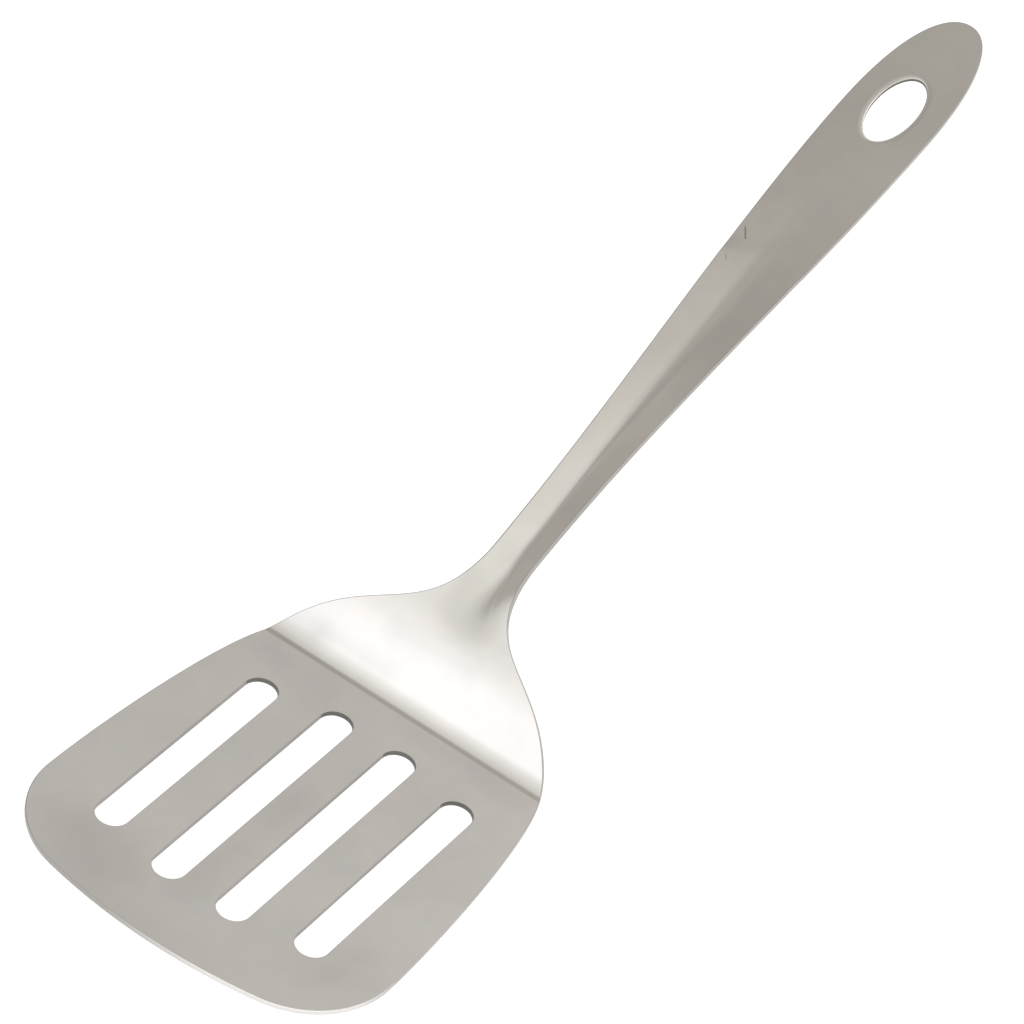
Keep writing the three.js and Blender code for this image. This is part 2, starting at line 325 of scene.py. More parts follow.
# How far each curve's two middle control points lie from its ends, in millimetres
PULLS = {"side": (21.3, 10), "neck": (24.8, 27.5), "handle": (49.9, 48.3), "tip": (25.5, 6.7)}
CURVE_POINTS = 400  # on each arc or curve


def arc(centre, radius, start, stop):
    """Circle arc: the centre plus the radius times the cosine and sine of evenly spaced angles."""
    angle = np.linspace(start, stop, CURVE_POINTS)
    return np.add(centre, radius * np.column_stack([np.cos(angle), np.sin(angle)]))


def bezier(*controls):
    """Cubic curve: four control points, weighted by (1-t)^3, 3t(1-t)^2, 3t^2(1-t) and t^3."""
    t = np.linspace(0, 1, CURVE_POINTS)[:, None]
    weights = [(1 - t) ** 3, 3 * t * (1 - t) ** 2, 3 * t ** 2 * (1 - t), t ** 3]
    return sum(weight * np.array(point) for weight, point in zip(weights, controls))


def half_outline():
    """Right half of the outline, from the middle of the front edge to the end of the handle."""
    inset = BLADE_HALF - FRONT_CORNER_RADIUS
    reach = FRONT_BOW_RADIUS - FRONT_CORNER_RADIUS
    turn = math.asin(inset / reach)
    bow_centre = FRONT_BOW_RADIUS - FRONT_REACH
    corner = bow_centre - reach * math.cos(turn)
    down = -math.pi / 2
    pulls = np.array(list(PULLS.values())) * MM
    (side_a, side_b), (neck_a, neck_b), (grip_a, grip_b), (tip_a, tip_b) = pulls
    pieces = [
        arc((0, bow_centre), FRONT_BOW_RADIUS, down, down + turn),
        arc((inset, corner), FRONT_CORNER_RADIUS, down + turn, 0),
        bezier((BLADE_HALF, corner), (BLADE_HALF, corner + side_a),
               (BEND_HALF + SIDE_LEAN * side_b, BEND_REACH - side_b), (BEND_HALF, BEND_REACH)),
        bezier((BEND_HALF, BEND_REACH), (BEND_HALF - SIDE_LEAN * neck_a, BEND_REACH + neck_a),
               (NECK_HALF, NECK_REACH - neck_b), (NECK_HALF, NECK_REACH)),
        bezier((NECK_HALF, NECK_REACH), (NECK_HALF, NECK_REACH + grip_a),
               (HANDLE_HALF, WIDEST_REACH - grip_b), (HANDLE_HALF, WIDEST_REACH)),
        bezier((HANDLE_HALF, WIDEST_REACH), (HANDLE_HALF, WIDEST_REACH + tip_a),
               (tip_b, TIP_REACH), (0, TIP_REACH)),
    ]
    return np.concatenate([pieces[0]] + [piece[1:] for piece in pieces[1:]])


right_half = half_outline()


def half_width(s):
    """Half width of the blank at s, read off the half outline."""
    return np.interp(s, right_half[:, 1], right_half[:, 0])


print("blank:", round((TIP_REACH + FRONT_REACH) / MM, 1), "mm long,", len(right_half), "outline points")

# %% [markdown]
# ## Side profile
# Seen from the side, the pressed sheet is flat, turns up sharply at the bend, runs straight up the
# shoulder and then eases over into a handle that is very slightly arched. A free curve could be drawn
# through that. A chain of stretches says it directly: each has a length and the angle that it turns by,
# so the sheet keeps its length, as real sheet does.

# %% Side profile as a chain of arcs
BEND_START = BEND_REACH - 1.55 * MM
# Length in millimetres and turn in degrees: sharp bend, its easier end, shoulder, ease into the handle
STRETCHES = [(1.85, 27), (4.2, 20.6), (4.6, 0), (29.2, -24.9)]
ARCH_ANGLE = -6.7  # degrees, turn of the whole handle


def side_profile(s):
    """Place and slope of the upper face in the middle plane.
    Each stretch adds its chord, which lies halfway between the slopes at its two ends."""
    y = np.minimum(s, BEND_START)
    z = np.full_like(s, SHEET)
    slope = np.zeros_like(s)
    start, base = BEND_START, 0.0
    handle = (TIP_REACH - BEND_START) / MM - sum(length for length, turn in STRETCHES)
    for length, turn in np.array(STRETCHES + [(handle, ARCH_ANGLE)]) * (MM, math.radians(1)):
        run = np.clip(s - start, 0, length)
        swing = turn * run / length
        chord = run * np.sinc(swing / 2 / np.pi)
        y = y + chord * np.cos(base + swing / 2)
        z = z + chord * np.sin(base + swing / 2)
        slope = slope + swing
        start, base = start + length, base + turn
    beyond = np.maximum(s - TIP_REACH, 0)
    return y + beyond * np.cos(slope), z + beyond * np.sin(slope), slope


print("handle end in mm:", [round(float(v[0]) / MM, 1) for v in side_profile(np.array([TIP_REACH]))[:2]])

# %% [markdown]
# ## Groove
# A thin strip would bend in use, so the die presses a groove along the middle of the handle. It starts
# as a hollow in the neck, is a deep narrow V where the neck is thinnest, and grows shallower along the
# handle, while its floor widens from a crease to a flat strip. Before the hole its flanks come down to
# the floor and leave a faint trace. As on real pressings, the crease wanders a little from the middle.
# The groove could be carved into a mesh, but one formula for the depth keeps the sheet whole: plane
# walls, with parabolas at the creases.

# %% Depth of the groove
GROOVE_START = BEND_REACH + 17 * MM
GROOVE_FULL = BEND_REACH + 39 * MM
RUN_OUT_START = BEND_REACH + 138.3 * MM
RUN_OUT_END = BEND_REACH + 144.8 * MM
RUN_OUT_LEAN = 1.5 * MM  # the run-out comes this much sooner at the edges
LEAN_POWER = 4  # how closely that keeps to the edges
TRACE_END = BEND_REACH + 178 * MM
TRACE_SHARE = 0.45  # share of the flanks' height that is left as a trace beyond the run-out
MIDDLE_DEPTHS = (2.5 * MM, 0.45 * MM)  # of the floor's line at the groove's start and at the run-out
FLOOR_START = BEND_REACH + 39.3 * MM  # from here on the crease at the bottom widens into a floor
FLOOR_HALF = 1.6 * MM  # half width of the floor at the run-out
CREASE_HALF = 1 * MM  # half width of the rounded creases
HOLLOW_HALF = 4 * MM  # half width added to it where the groove starts
HOLLOW_END = BEND_REACH + 42 * MM
DIE_HALVES = (8 * MM, 15 * MM)  # half widths of the die in the neck and along the handle
DIE_PLACES = (BEND_REACH + 32.3 * MM, BEND_REACH + 43.3 * MM)
FLANK_SOFTNESS = 0.35  # share of the depth over which the groove's flanks roll into the neck
# How far the crease wanders to the right of the middle: start, end and shift in millimetres on the blank
WANDERS = [(50, 70, 2.1), (68, 93, -1.8), (93, 130, -0.6), (150, 185, 0.3)]
LEAST_SHARE = 1e-9  # keeps the sum defined at the handle's very end, where the width is 0
GROOVE_SAMPLES = 8


def ease(value, low, high):
    """Smooth step from 0 at low to 1 at high: 3t^2 - 2t^3."""
    t = np.clip((value - low) / (high - low), 0, 1)
    return t * t * (3 - 2 * t)


def soft_floor(value, softness):
    """The larger of value and 0, its corner rounded by a parabola one softness wide on each side."""
    rounded = (value + softness) ** 2 / (4 * softness)
    return np.where(np.abs(value) < softness, rounded, np.maximum(value, 0))


def rise(u, floor, crease):
    """Height above the floor: 0 on it, and beyond its creases the distance from it, on both sides."""
    return soft_floor(u - floor, crease) + soft_floor(-u - floor, crease)


def from_crease(u, s, width):
    """Distance from the wandering crease, stretched so that the sheet's edges stay at its half width."""
    wander = sum(shift * ease(s / MM, start, end) for start, end, shift in WANDERS) * MM
    room = width + np.where(u < wander, wander, -wander)
    return (u - wander) * width / np.maximum(room, LEAST_SHARE)


def groove_depth(u, s):
    """Depth = depth of the crease times a share that is 1 in the crease and 0 at the sheet's edge.
    The share falls like the die's V, whose flanks end inside the wide neck and beyond the handle's edges.
    At the run-out the flanks come down to the floor: the share grows to 1 all across."""
    middle = np.interp(s, (GROOVE_START, RUN_OUT_START), MIDDLE_DEPTHS)
    middle = middle * ease(s, GROOVE_START, GROOVE_FULL) * (1 - ease(s, RUN_OUT_END, WIDEST_REACH))
    trace = TRACE_SHARE * (1 - ease(s, RUN_OUT_END, TRACE_END))
    floor = np.interp(s, (FLOOR_START, RUN_OUT_START), (0, FLOOR_HALF))
    crease = CREASE_HALF + HOLLOW_HALF * (1 - ease(s, GROOVE_START, HOLLOW_END))
    die = DIE_HALVES[0] + (DIE_HALVES[1] - DIE_HALVES[0]) * ease(s, *DIE_PLACES)
    lowest = rise(0, floor, crease)
    width = half_width(s)
    lean = RUN_OUT_LEAN * (u / np.maximum(width, LEAST_SHARE)) ** LEAN_POWER
    flat = (1 - trace) * ease(s + lean, RUN_OUT_START, RUN_OUT_END)
    rises = [rise(x, floor, crease) - lowest for x in (from_crease(u, s, width), width)]
    here, edge = [soft_floor(1 - height / die, FLANK_SOFTNESS) for height in rises]
    share = (here - edge) / np.maximum(1 - edge, LEAST_SHARE)
    return middle * (share + (1 - share) * flat)


groove_places = np.linspace(GROOVE_START, RUN_OUT_END, GROOVE_SAMPLES)
groove_depths = groove_depth(np.zeros(GROOVE_SAMPLES), groove_places) / MM
print("groove depth along the handle in mm:", groove_depths.round(2).tolist())

# %% [markdown]
# ## The pressed sheet as a surface
# Now every point of the blank has a place in space: follow the side profile to s, step across by u, and
# sink by the groove's depth. Depth below the upper face is the third number: 0 is the upper face, one
# sheet thickness is the lower one. Normals could be averaged from the facets, but these come from the
# surface itself, so the reflections stay smooth whatever the facets are.

# %% Points and normals of the sheet
SLOPE_STEP = 0.01 * MM  # small step from which slopes are measured


def upper_face(u, s):
    """Upper face: the side profile, moved across by u and sunk square to the profile by the groove."""
    y, z, slope = side_profile(s)
    sink = groove_depth(u, s)
    return np.stack([u, y + np.sin(slope) * sink, z - np.cos(slope) * sink], axis=-1)


def unit(vectors):
    """Vectors of length 1 with the same directions."""
    return vectors / np.linalg.norm(vectors, axis=-1, keepdims=True)


def tangents(u, s):
    """Slopes of the upper face across and along the sheet, from points one small step to each side."""
    across = upper_face(u + SLOPE_STEP, s) - upper_face(u - SLOPE_STEP, s)
    along = upper_face(u, s + SLOPE_STEP) - upper_face(u, s - SLOPE_STEP)
    return across / (2 * SLOPE_STEP), along / (2 * SLOPE_STEP)


def sheet_point(uv, depth):
    """Point at a depth below the upper face, measured square to it, and the upper face's normal there."""
    u, s = uv[..., 0], uv[..., 1]
    normal = unit(np.cross(*tangents(u, s)))
    return upper_face(u, s) - np.asarray(depth)[..., None] * normal, normal


neck = upper_face(np.zeros(1), np.array([NECK_REACH]))[0]
print("groove's bottom where the neck is thinnest, in mm:", (neck / MM).round(1).tolist())

# %% [markdown]
# ## Cut edges as loops
# The outline, the four slots and the hanging hole are closed loops on the blank. Each runs with the
# steel on its left, so one rule gives the direction into the steel for all of them. On the real object
# the outer edge is ground smooth, the punched slots have sharp rims, and the hole's rim is pressed and
# polished for the fingers. So every loop has a rounding of its own.

# %% Loops of the outline, the slots and the hole
SLOT_WIDTH = 7.8 * MM
SLOTS = [(-26.2, 60.9), (-8.4, 67.9), (8.4, 67.9), (26.2, 60.9)]  # offset and length in millimetres
HOLE_WIDTH = 10.8 * MM
HOLE_LENGTH = 22.4 * MM
HOLE_PLACE = TIP_REACH - 33.3 * MM
# Eased rims: how far each reaches into the sheet, and how deep
OUTER_RIM = (0.2 * MM, 0.2 * MM)
SLOT_RIM = (0.1 * MM, 0.1 * MM)
HOLE_RIM = (1.4 * MM, 0.26 * MM)
LOOP_STEP = 0.8 * MM  # widest spacing of points along the outline
FINE_STEP = 0.4 * MM  # spacing round the openings
# Spacing of rows along the sheet: wide on the flat blade, close in the bend and round the groove's start
ROW_PLACES = np.array([-50, 30, 41, 43, 47, 52, 66, 84, 110, 190, 250, 275]) * MM
ROW_STEPS = np.array([3, 3, 0.6, 0.16, 0.16, 0.5, 0.5, 0.5, 0.9, 0.7, 1.2, 0.6]) * MM


def row_step(s):
    """Wanted spacing at s."""
    return np.interp(s, ROW_PLACES, ROW_STEPS)


def respace(path, crowding):
    """Points along a path, spaced so that each stretch holds its length times its crowding."""
    lengths = np.linalg.norm(np.diff(path, axis=0), axis=1)
    count = np.concatenate([[0], np.cumsum(lengths * (crowding[1:] + crowding[:-1]) / 2)])
    places = np.linspace(0, count[-1], int(count[-1]) + 1)
    return np.column_stack([np.interp(places, count, column) for column in path.T])


def outline_loop():
    """Right half forwards, then its mirror image backwards."""
    half = respace(right_half, 1 / np.minimum(row_step(right_half[:, 1]), LOOP_STEP))
    return np.concatenate([half[:-1], (half * (-1, 1))[:0:-1]])


def slot_loop(offset, length):
    """Two half circles joined by straight sides, walked clockwise."""
    radius = SLOT_WIDTH / 2
    reach = length / 2 - radius
    far = arc((offset, reach), radius, math.pi, 0)
    near = arc((offset, -reach), radius, 0, -math.pi)
    path = np.concatenate([far, near, far[:1]])
    return respace(path, np.full(len(path), 1 / FINE_STEP))[:-1]


def hole_loop():
    """Ellipse, walked clockwise."""
    path = arc((0, 0), 1, 2 * math.pi, 0) * (HOLE_WIDTH / 2, HOLE_LENGTH / 2) + (0, HOLE_PLACE)
    return respace(path, np.full(len(path), 1 / FINE_STEP))[:-1]


def into_steel(loop):
    """Direction to the left of the way along the loop, square to it."""
    ahead = unit(np.roll(loop, -1, axis=0) - np.roll(loop, 1, axis=0))
    return np.column_stack([-ahead[:, 1], ahead[:, 0]])


LOOPS = [(outline_loop(), OUTER_RIM)]
LOOPS += [(slot_loop(offset * MM, length * MM), SLOT_RIM) for offset, length in SLOTS]
LOOPS += [(hole_loop(), HOLE_RIM)]
print("loops of", [len(loop) for loop, rim in LOOPS], "points")

# %% [markdown]
# ## Skin: rows of points, joined by triangles
# A plain grid can't go round slots. So rows of points cover the blank, the points that would fall in an
# opening are left out, and a constrained Delaunay triangulation joins the rest with the loops as fixed
# borders. It works on the flat blank, where it is exact, and the surface function then bends the result.

# %% Triangulate the blank
ROW_SAMPLES = 4000  # points of the middle line, along which the rows are spaced
COLUMNS = 81  # points across the sheet in each row
COLUMN_CROWDING = 1.3  # above 1 the columns crowd towards the middle
EDGE_GAP = 0.9 * MM  # points nearer to a rim than this are left out
INSIDE = 1  # keeps the triangles inside the outline only
POINT_GAP = 1e-7  # points nearer than this, in millimetres, would be joined
TRIANGLES = 2  # which part of the triangulation's result holds the triangles


def border_gap(uv):
    """How far a point of the blank lies from the nearest rim, roughly, and below 0 beyond it."""
    u, s = uv[:, 0], uv[:, 1]
    gaps = [half_width(s) - np.abs(u) - OUTER_RIM[0]]
    for offset, length in SLOTS:
        beyond = np.maximum(np.abs(s) - (length * MM - SLOT_WIDTH) / 2, 0)
        gaps.append(np.hypot(u - offset * MM, beyond) - SLOT_WIDTH / 2 - SLOT_RIM[0])
    oval = np.hypot(u / (HOLE_WIDTH / 2), (s - HOLE_PLACE) / (HOLE_LENGTH / 2))
    gaps.append((oval - 1) * HOLE_WIDTH / 2 - HOLE_RIM[0])
    return np.minimum.reduce(gaps)


def inner_points():
    """Rows of points whose columns keep their share of the half width."""
    line = np.column_stack([np.zeros(ROW_SAMPLES), np.linspace(-FRONT_REACH, TIP_REACH, ROW_SAMPLES)])
    rows = respace(line, 1 / row_step(line[:, 1]))[:, 1]
    share = np.linspace(-1, 1, COLUMNS)
    share = np.sign(share) * np.abs(share) ** COLUMN_CROWDING
    u = share[None, :] * half_width(rows)[:, None]
    uv = np.column_stack([u.ravel(), np.repeat(rows, COLUMNS)])
    return uv[border_gap(uv) > EDGE_GAP]


def triangulate(loops, inner):
    """Triangles inside the first loop and outside the others.
    The openings bulge outwards everywhere, so a triangle with all corners on one of them lies inside it."""
    counts = [len(loop) for loop in loops]
    starts = np.concatenate([[0], np.cumsum(counts)[:-1]])
    edges = np.concatenate([start + np.column_stack([np.arange(n), (np.arange(n) + 1) % n])
                            for start, n in zip(starts, counts)])
    points = np.concatenate([*loops, inner])
    joined = delaunay_2d_cdt((points / MM).tolist(), edges.tolist(), [], INSIDE, POINT_GAP)
    faces = np.array(joined[TRIANGLES])
    owners = np.concatenate([np.repeat(np.arange(len(loops)), counts), np.zeros(len(inner), int)])
    owner = owners[faces]
    in_opening = (owner.min(axis=1) == owner.max(axis=1)) & (owner[:, 0] > 0)
    return points, faces[~in_opening]


skin_loops = [loop + rim[0] * into_steel(loop) for loop, rim in LOOPS]
blank, triangles = triangulate(skin_loops, inner_points())
print("skin:", len(blank), "points,", len(triangles), "triangles")

# %% [markdown]
# ## Edges: a profile carried along each loop
# A cut edge is a quarter round, a short wall and another quarter round. A bevel tool could round the
# finished mesh. Carrying the profile along a loop gives a band that closes the gap between the two skins
# with an even width, and the angle of the profile gives its normals.

# %% Profile, band and finish of an edge
RIM_STEPS = 5  # on each quarter round
HOLE_POLISH = 4  # steps of the hole's rims that are polished like the faces
# The three cut finishes are darker than the faces: partly a rougher cut, mostly painted shade
FACE, PUNCHED_AND_SHADED, SHEARED_AND_SHADED, TRIMMED_AND_SHADED = range(4)  # numbers of the four finishes


def edge_profile(reach, drop):
    """Inset, depth and tilt along the edge, from the upper skin to the lower one.
    The rims are quarter ellipses: inset = reach - reach sin(t), depth = drop - drop cos(t)."""
    t = np.linspace(0, np.pi / 2, RIM_STEPS + 1)
    inset = reach * (1 - np.sin(t))
    depth = drop * (1 - np.cos(t))
    tilt = np.arctan2(drop * np.sin(t), reach * np.cos(t))
    return (np.concatenate([inset, inset[::-1]]), np.concatenate([depth, SHEET - depth[::-1]]),
            np.concatenate([tilt, np.pi - tilt[::-1]]))


def edge_band(loop, rim):
    """Grids of places on the blank, points and normals.
    There is one row for each point of the loop and one column for each step of the profile."""
    inset, depth, tilt = edge_profile(*rim)
    inward = into_steel(loop)
    uv = loop[:, None, :] + inset[None, :, None] * inward[:, None, :]
    points, up = sheet_point(uv, np.broadcast_to(depth, uv.shape[:2]))
    across, along = tangents(uv[..., 0], uv[..., 1])
    out = -unit(across * inward[:, None, :1] + along * inward[:, None, 1:])
    normals = np.cos(tilt)[None, :, None] * up + np.sin(tilt)[None, :, None] * out
    return uv, points, unit(normals)


def edge_finish(loop, rim, columns):
    """Finish of each face of a band: trimmed at the outline, sheared along the slots, punched in the
    hole and at the slots' ends near the handle, and polished on the outer part of the hole's rims. The
    cut finishes carry painted shade: they are darker than the faces, darkest where punched."""
    finish = np.full((len(loop), columns), TRIMMED_AND_SHADED if rim is OUTER_RIM else SHEARED_AND_SHADED)
    # Darkest painted shade on the slots' ends near the handle and on the hole's walls
    if rim is SLOT_RIM:
        finish[loop[:, 1] > loop[:, 1].max() - SLOT_WIDTH / 2] = PUNCHED_AND_SHADED
    if rim is HOLE_RIM:
        finish[:, :] = PUNCHED_AND_SHADED
        finish[:, :HOLE_POLISH] = FACE
        finish[:, -HOLE_POLISH:] = FACE
    return finish


rim_depths = edge_profile(*OUTER_RIM)[1] / MM
print("outer edge, depths of the profile in mm:", rim_depths.round(2).tolist())

# %% [markdown]
# ## One closed mesh
# The real sheet has no seam between its faces and its cut edges. Skins and bands could be made apart and
# then merged where they touch. Here the bands use the skins' own border points from the start, so the
# mesh is closed by its numbering, and every point keeps the normal that the surface gives it.

# %% Join the skins and the bands


def build_sheet():
    """Upper skin, lower skin and bands in one set of points.
    The bands' first and last columns are the skins' own border points."""
    upper, up = sheet_point(blank, np.zeros(len(blank)))
    lower = sheet_point(blank, np.full(len(blank), SHEET))[0]
    points, normals, uvs = [upper, lower], [up, -up], [blank, blank]
    faces = [triangles, triangles[:, ::-1] + len(blank)]
    materials = [np.full(2 * len(triangles), FACE)]
    border, total = 0, 2 * len(blank)
    quads = []
    for loop, rim in LOOPS:
        uv, band, band_normals = edge_band(loop, rim)
        count, columns = band.shape[:2]
        index = np.empty((count, columns), int)
        index[:, 0] = border + np.arange(count)
        index[:, -1] = index[:, 0] + len(blank)
        index[:, 1:-1] = total + np.arange(count * (columns - 2)).reshape(count, -1)
        points.append(band[:, 1:-1].reshape(-1, 3))
        normals.append(band_normals[:, 1:-1].reshape(-1, 3))
        uvs.append(uv[:, 1:-1].reshape(-1, 2))
        ahead = np.roll(index, -1, axis=0)
        corners = [index[:, :-1], index[:, 1:], ahead[:, 1:], ahead[:, :-1]]
        quads.append(np.stack(corners, axis=-1).reshape(-1, 4))
        materials.append(edge_finish(loop, rim, columns - 1).ravel())
        border += count
        total += count * (columns - 2)
    return [np.concatenate(part) for part in (points, normals, uvs, faces, quads, materials)]


def make_spatula():
    """Mesh object with smooth normals from the surface and a UV map that holds u and s in metres."""
    points, normals, uvs, faces, quads, materials = build_sheet()
    made = mesh_object("spatula", points, faces.tolist() + quads.tolist())
    mesh = made.data
    mesh.polygons.foreach_set("material_index", materials)
    mesh.shade_smooth()
    mesh.normals_split_custom_set_from_vertices(normals)
    owner = np.empty(len(mesh.loops), int)
    mesh.loops.foreach_get("vertex_index", owner)
    mesh.uv_layers.new(name="blank").data.foreach_set("uv", uvs[owner].ravel())
    mesh.update()
    return made


spatula = make_spatula()
print("spatula:", len(spatula.data.vertices), "points,", len(spatula.data.polygons), "faces")

# %% [markdown]
# ## Steel
# Kitchen steel is rolled, pressed and polished. The polish leaves a slight haze, so reflections are
# soft, and the colour is a warm grey. A flat grey would look like plastic: the finish needs faint clouds
# from polishing and a grain so fine that it only shows as a break in the highlights. Photographed
# textures could give both. Noise needs no images and never repeats. Faces and cut walls use it alike, so
# it is made as node groups.

# %% Node groups: polishing haze and rolling grain
NUMBER = "NodeSocketFloat"
VECTOR = "NodeSocketVector"
HAZE_DETAIL = 4.0
HAZE_ROUGHNESS = 0.6
HAZE_SLICE = 1.0  # where the noise is cut: another number gives other clouds
HAZE_MIDDLE = 0.5  # the noise's mean
GRAIN_WIDTH = 0.2 * MM
GRAIN_LENGTH = 10 * MM
GRAIN_DETAIL = 2.0


def new_group(name, inputs, outputs):
    """Empty node group with named sockets, and its own input and output sockets to link."""
    group = bpy.data.node_groups.new(name, "ShaderNodeTree")
    for socket, kind, value in inputs:
        made = group.interface.new_socket(socket, in_out="INPUT", socket_type=kind)
        if value is not None:
            made.default_value = value
    for socket, kind in outputs:
        group.interface.new_socket(socket, in_out="OUTPUT", socket_type=kind)
    return group, group.nodes.new("NodeGroupInput").outputs, group.nodes.new("NodeGroupOutput").inputs


def haze_group():
    """Clouds of polish: a mask near 0.5 that wanders by its strength over patches of the given size."""
    inputs = [("Patch size", NUMBER, 20 * MM), ("Strength", NUMBER, 0.5)]
    group, given, result = new_group("polishing_haze", inputs, [("Mask", NUMBER)])
    place = add(group, "TexCoord").outputs["Object"]
    scale = maths(group, "DIVIDE", 1.0, given["Patch size"])
    settings = {"Vector": place, "W": HAZE_SLICE, "Scale": scale}
    settings.update({"Detail": HAZE_DETAIL, "Roughness": HAZE_ROUGHNESS})
    noise = add(group, "TexNoise", settings, noise_dimensions="4D")
    centred = maths(group, "SUBTRACT", noise.outputs["Fac"], HAZE_MIDDLE)
    feed(group, result["Mask"], maths(group, "MULTIPLY_ADD", centred, given["Strength"], HAZE_MIDDLE))
    return group


def grain_group():
    """Fine lines along the sheet: noise drawn out along s on the blank, as a height from 0 to 1."""
    inputs = [("Line width", NUMBER, GRAIN_WIDTH), ("Line length", NUMBER, GRAIN_LENGTH)]
    group, given, result = new_group("rolling_grain", inputs, [("Height", NUMBER)])
    blank_place = add(group, "UVMap", uv_map="blank").outputs["UV"]
    place = add(group, "SeparateXYZ", {"Vector": blank_place}).outputs
    across = maths(group, "DIVIDE", place["X"], given["Line width"])
    along = maths(group, "DIVIDE", place["Y"], given["Line length"])
    place = add(group, "CombineXYZ", {"X": across, "Y": along}).outputs["Vector"]
    settings = {"Vector": place, "Scale": 1.0, "Detail": GRAIN_DETAIL}
    noise = add(group, "TexNoise", settings, noise_dimensions="2D")
    feed(group, result["Height"], noise.outputs["Fac"])
    return group


polishing_haze = haze_group()
rolling_grain = grain_group()
print("node groups:", [group.name for group in (polishing_haze, rolling_grain)])

# %% [markdown]
# ## Finishes
# One sheet shows four finishes: polished faces, a trimmed outer edge, sheared walls along the slots, and
# punched walls in the hole and at the slots' ends near the handle. The three cut walls are darker than the
# faces, partly from their rougher cut and mostly as painted shade, darkest where punched. All are the same
# steel, so one recipe makes them with different numbers, and only the marks, the painted shade along the
# bend and the painted highlight on the front edge are added afterwards.

# %% Materials from one recipe
# Two colours of each finish, its roughness, its stains and its grain's height, in the finishes' order
LOOKS = {
    "polished_steel": {
        "warm": (0.695, 0.648, 0.58, 1), "cool": (0.635, 0.612, 0.565, 1), "roughness": 0.17,
        "stain_size": 6 * MM, "stain_strength": 1.5, "grain_height": 0.006 * MM,
    },
    # Darkest: painted shade on the slots' ends near the handle and on the hole's walls, with a rough cut
    "punched_wall_painted_shade": {
        "warm": (0.18, 0.165, 0.148, 1), "cool": (0.15, 0.144, 0.134, 1), "roughness": 0.5,
        "stain_size": 4 * MM, "stain_strength": 1.0, "grain_height": 0.01 * MM,
    },
    # Dark: painted shade on the slots' long walls, with a duller sheared cut
    "sheared_wall_painted_shade": {
        "warm": (0.31, 0.288, 0.262, 1), "cool": (0.27, 0.257, 0.24, 1), "roughness": 0.4,
        "stain_size": 4 * MM, "stain_strength": 1.0, "grain_height": 0.01 * MM,
    },
    # Darker than the faces: painted shade on the outer edge; a painted highlight is added in front below
    "trimmed_edge_shade_and_highlight": {
        "warm": (0.4, 0.376, 0.342, 1), "cool": (0.36, 0.346, 0.322, 1), "roughness": 0.35,
        "stain_size": 4 * MM, "stain_strength": 1.0, "grain_height": 0.005 * MM,
    },
}
CLOUD_SIZE = 40 * MM
CLOUD_STRENGTH = 3.0
CLOUD_SWING = 0.05  # share by which the clouds move the brightness up and down
ROUGHNESS_SWING = 0.15  # share by which they move the roughness
MIX_SHARE, MIX_FIRST, MIX_SECOND, MIX_RESULT = 0, 6, 7, 2  # numbers of a Mix node's sockets for colours


def use_group(tree, group, values=()):
    """Outputs of a node that places a group in a material, with its values."""
    return add(tree, "Group", values, node_tree=group).outputs


def mix(tree, share, first, second):
    """Blend of two colours."""
    inputs = {MIX_SHARE: share, MIX_FIRST: first, MIX_SECOND: second}
    return add(tree, "Mix", inputs, data_type="RGBA").outputs[MIX_RESULT]


def steel(name, warm, cool, roughness, stain_size, stain_strength, grain_height):
    """Principled metal with two hazes: large clouds move the brightness and the roughness, and small
    stains move the colour between warm and cool. The grain is a fine bump."""
    material = bpy.data.materials.new(name)
    material.use_nodes = True
    tree = material.node_tree
    surface = tree.nodes["Principled BSDF"].inputs
    surface["Metallic"].default_value = 1
    clouds = {"Patch size": CLOUD_SIZE, "Strength": CLOUD_STRENGTH}
    stains = {"Patch size": stain_size, "Strength": stain_strength}
    haze = use_group(tree, polishing_haze, clouds)["Mask"]
    stain = use_group(tree, polishing_haze, stains)["Mask"]
    grain = use_group(tree, rolling_grain)["Height"]
    shade = add(tree, "MapRange", {"Value": haze, "To Min": 1 - CLOUD_SWING, "To Max": 1 + CLOUD_SWING})
    colour = mix(tree, stain, cool, warm)
    shaded = vector_maths(tree, "SCALE", {0: colour, "Scale": shade.outputs["Result"]}, "Vector")
    feed(tree, surface["Base Color"], shaded)
    swing = {"To Min": roughness * (1 + ROUGHNESS_SWING), "To Max": roughness * (1 - ROUGHNESS_SWING)}
    rough = add(tree, "MapRange", {"Value": haze, **swing})
    feed(tree, surface["Roughness"], rough.outputs["Result"])
    bump = add(tree, "Bump", {"Height": grain, "Strength": 1.0, "Distance": grain_height})
    feed(tree, surface["Normal"], bump.outputs["Normal"])
    return material


finishes = [steel(name, **look) for name, look in LOOKS.items()]
for finish in finishes:
    spatula.data.materials.append(finish)
print("finishes:", [finish.name for finish in finishes])

# %% [markdown]
# ## Marks and painted shade
# A used spatula has a few scratches, and the flat blade shows a few soft dark patches. Painted shade lies
# in lines along both sides of the bend and across the neck. They could be painted by hand on an image. Here
# each is a line on the blank: scratches are thin and dark, patches and painted shade wide and faint, and
# one group draws them all.

# %% Scratches, dark patches and painted shade along the bend
# Dark colour of the scratches, the patches and the painted shade along the bend
MARK_AND_SHADE_COLOUR = (0.2, 0.17, 0.15, 1)
# From and to in millimetres on the blank, width in millimetres and strength
SCRATCHES = [((-8.7, 191.05), (-6.9, 188.35), 0.3, 0.85), ((-7.9, 181.75), (-7.1, 180.75), 0.3, 0.4)]
